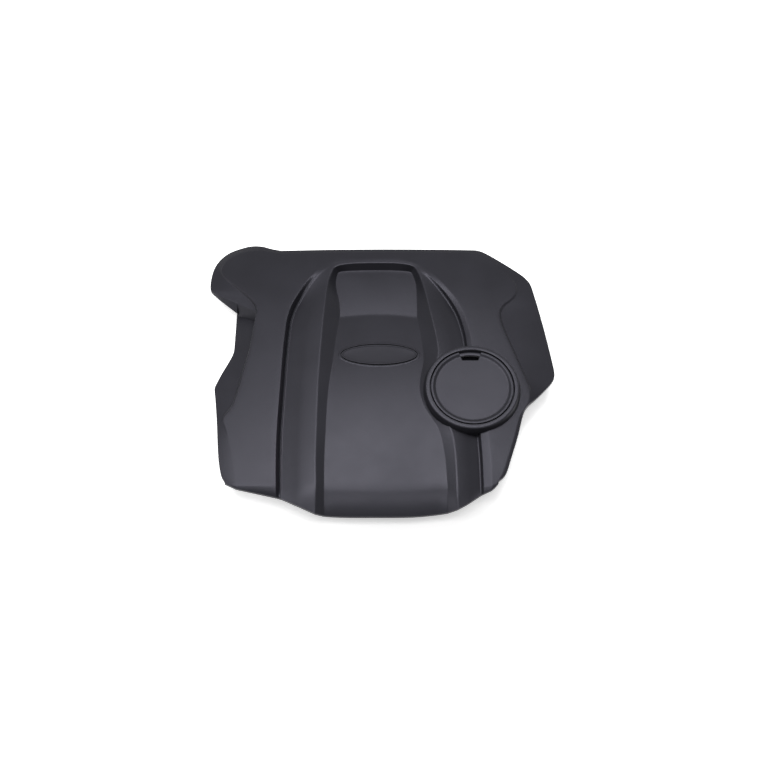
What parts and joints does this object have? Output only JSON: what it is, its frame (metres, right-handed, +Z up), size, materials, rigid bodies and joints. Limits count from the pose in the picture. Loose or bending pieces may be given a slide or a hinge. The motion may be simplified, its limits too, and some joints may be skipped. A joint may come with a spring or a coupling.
{
  "type": "engine cover",
  "caption": "Moulded engine cover with a sunken centre channel, an oval badge plate, a round lift-out access lid in a raised collar, and grommeted stalks underneath.",
  "frame": {"origin": "middle of the plan outline, on the ground under the grommets", "axes": "+X to the right seen from the front lip, +Y to the back edge, +Z up out of the cover's top"},
  "size_m": [0.5136, 0.448, 0.062],
  "materials": {
    "cover_plastic": "fine moulded grain, satin",
    "lid_plastic": "fine moulded grain, satin",
    "badge_plastic": "smooth satin",
    "grommet_rubber": "dull soft rubber"
  },
  "bodies": {
    "root": {"cover_shell": "cover_plastic", "filler_lid": "lid_plastic", "emblem_plate": "badge_plastic", "grommet_front_left": "grommet_rubber", "grommet_front_right": "grommet_rubber", "grommet_rear_left": "grommet_rubber", "grommet_rear_right": "grommet_rubber"}
  },
  "joints": []
}
